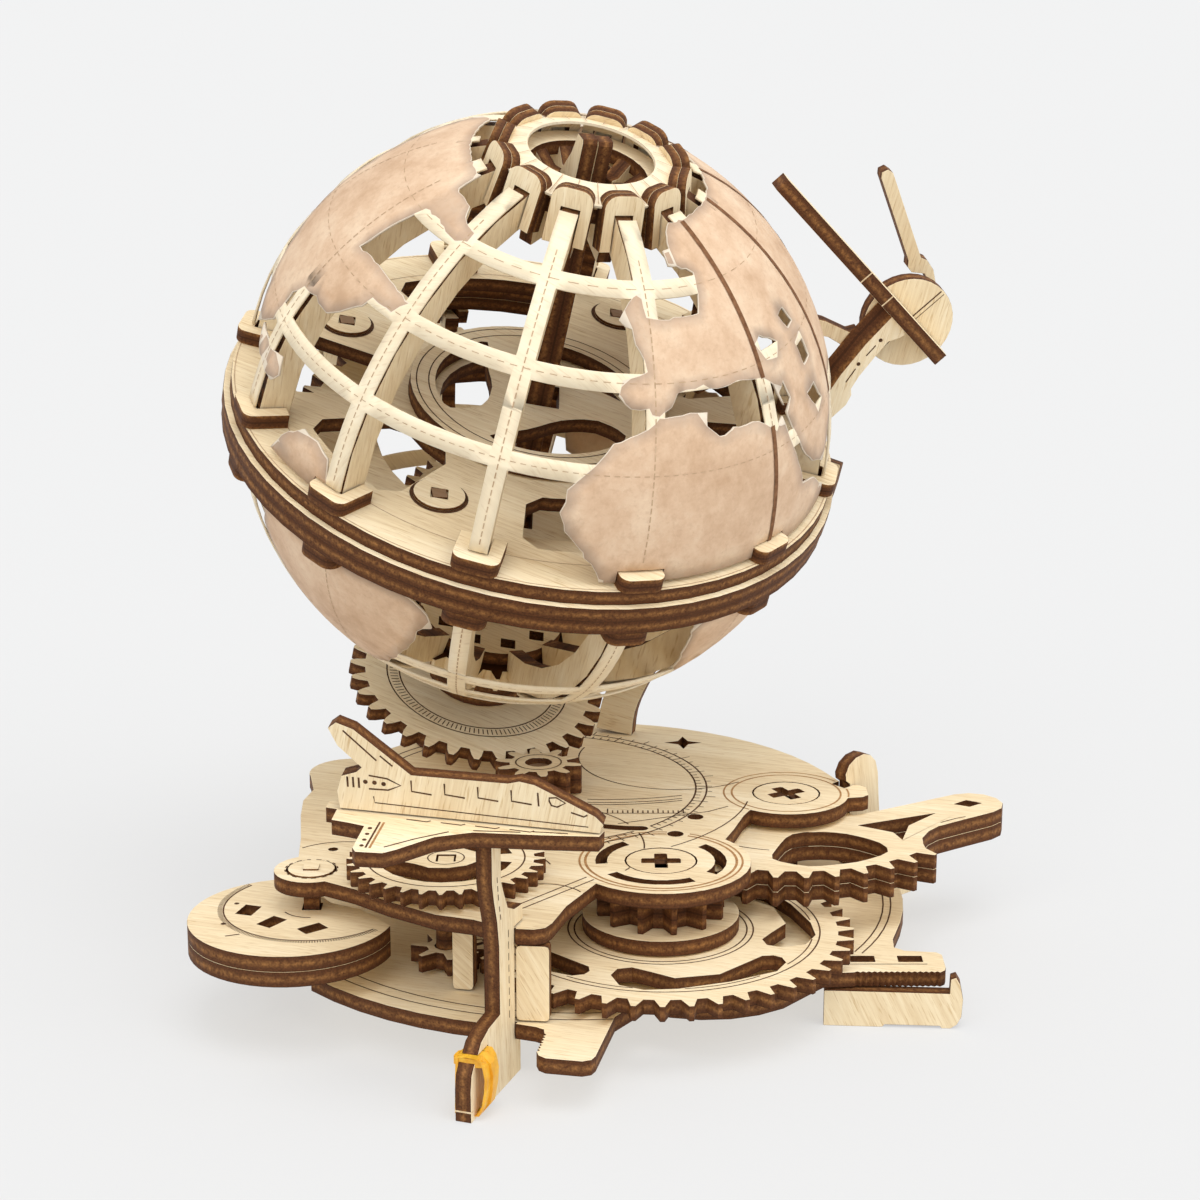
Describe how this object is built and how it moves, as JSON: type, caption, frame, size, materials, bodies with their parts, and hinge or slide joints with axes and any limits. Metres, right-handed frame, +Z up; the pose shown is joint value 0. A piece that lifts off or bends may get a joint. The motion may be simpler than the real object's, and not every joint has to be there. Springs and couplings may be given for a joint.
{
  "type": "mechanical globe orrery",
  "caption": "Openwork wooden globe on a tilted axle, turned by a toothed hand lever through a train of wooden gears, with a moon disc, a shuttle and a satellite.",
  "frame": {"origin": "On the surface that the model stands on, under the middle of its bounding box.", "axes": "+Z is up, +X points to the right of a person who faces the shuttle, and +Y points away from that person."},
  "size_m": [0.159, 0.1564, 0.1641],
  "materials": {
    "birch_ply": "matt",
    "dark_ply": "matt",
    "printed_card": "matt",
    "rubber": "satin"
  },
  "bodies": {
    "frame": {"deck_plate": "birch_ply", "base_plate": "birch_ply", "front_leg": "birch_ply", "right_leg": "birch_ply", "back_hook_leg": "birch_ply", "rear_leg": "birch_ply", "front_spacer_right": "birch_ply", "front_spacer_left": "birch_ply", "rear_spacer": "birch_ply", "rubber_band": "rubber", "globe_axle": "dark_ply", "axle_stand": "dark_ply", "shuttle_fuselage": "birch_ply", "shuttle_wing": "birch_ply", "satellite_disc": "birch_ply", "satellite_rear_disc": "birch_ply", "satellite_front_boom": "dark_ply", "satellite_rear_boom": "birch_ply", "satellite_arm": "birch_ply"},
    "globe": {"globe_gear": "birch_ply", "gear_collar": "dark_ply", "south_cage": "birch_ply", "equator_plate": "birch_ply", "equator_ring_middle": "birch_ply", "equator_ring_lower": "birch_ply", "spoked_wheel": "birch_ply", "inner_gear": "dark_ply", "pierced_disc": "birch_ply", "lower_gear": "dark_ply", "north_rib_1": "birch_ply", "north_rib_2": "birch_ply", "north_rib_3": "birch_ply", "north_rib_4": "birch_ply", "north_rib_5": "birch_ply", "north_rib_6": "birch_ply", "north_rib_7": "birch_ply", "north_rib_8": "birch_ply", "north_rib_9": "birch_ply", "north_rib_10": "birch_ply", "north_rib_11": "birch_ply", "north_rib_12": "birch_ply", "north_polar_ring": "dark_ply", "north_skin": "printed_card", "south_skin": "printed_card"},
    "transfer_shaft": {"transfer_axle": "dark_ply", "lower_pinion": "dark_ply", "upper_pinion": "birch_ply"},
    "drive_shaft": {"drive_axle": "birch_ply", "drive_pinion": "dark_ply", "drive_hub": "birch_ply", "drive_gear": "birch_ply"},
    "lever": {"lever_axle": "birch_ply", "lever_upper_sheet": "birch_ply", "lever_lower_sheet": "birch_ply"},
    "idler_shaft": {"idler_axle": "dark_ply", "idler_gear": "birch_ply", "star_wheel": "dark_ply"},
    "moon": {"moon_axle": "dark_ply", "moon_top_sheet": "birch_ply", "moon_lower_sheet": "birch_ply"}
  },
  "joints": [
    {"name": "globe_spin", "type": "hinge", "parent": "frame", "child": "globe", "pos_m": [-0.0154, 0.01824, 0.1062], "axis": [0.1954, -0.3384, 0.9205], "range_deg": [0, 222]},
    {"name": "transfer_spin", "type": "hinge", "parent": "frame", "child": "transfer_shaft", "pos_m": [-0.0152, 0.01344, 0.0283], "axis": [0, 0, 1], "range_deg": [-710.9, 0.5]},
    {"name": "drive_spin", "type": "hinge", "parent": "frame", "child": "drive_shaft", "pos_m": [0.0087, -0.02476, 0.0283], "axis": [0, 0, 1], "range_deg": [-0.5, 194.25]},
    {"name": "lever_swing", "type": "hinge", "parent": "frame", "child": "lever", "pos_m": [0.0348, 0.01324, 0.0283], "axis": [0, 0, 1], "range_deg": [-60.11, 0.5]},
    {"name": "idler_spin", "type": "hinge", "parent": "frame", "child": "idler_shaft", "pos_m": [-0.0313, -0.03376, 0.0283], "axis": [0, 0, 1], "range_deg": [-1218.33, 0.5]},
    {"name": "moon_swing", "type": "hinge", "parent": "frame", "child": "moon", "pos_m": [-0.0568, -0.02916, 0.0283], "axis": [0, 0, 1], "range_deg": [-20, 25]}
  ],
  "couplings": [
    {"joint": "transfer_spin", "follows": "globe_spin", "ratio": -3.2},
    {"joint": "drive_spin", "follows": "globe_spin", "ratio": 0.87273},
    {"joint": "lever_swing", "follows": "globe_spin", "ratio": -0.26853},
    {"joint": "idler_spin", "follows": "globe_spin", "ratio": -5.4857}
  ]
}
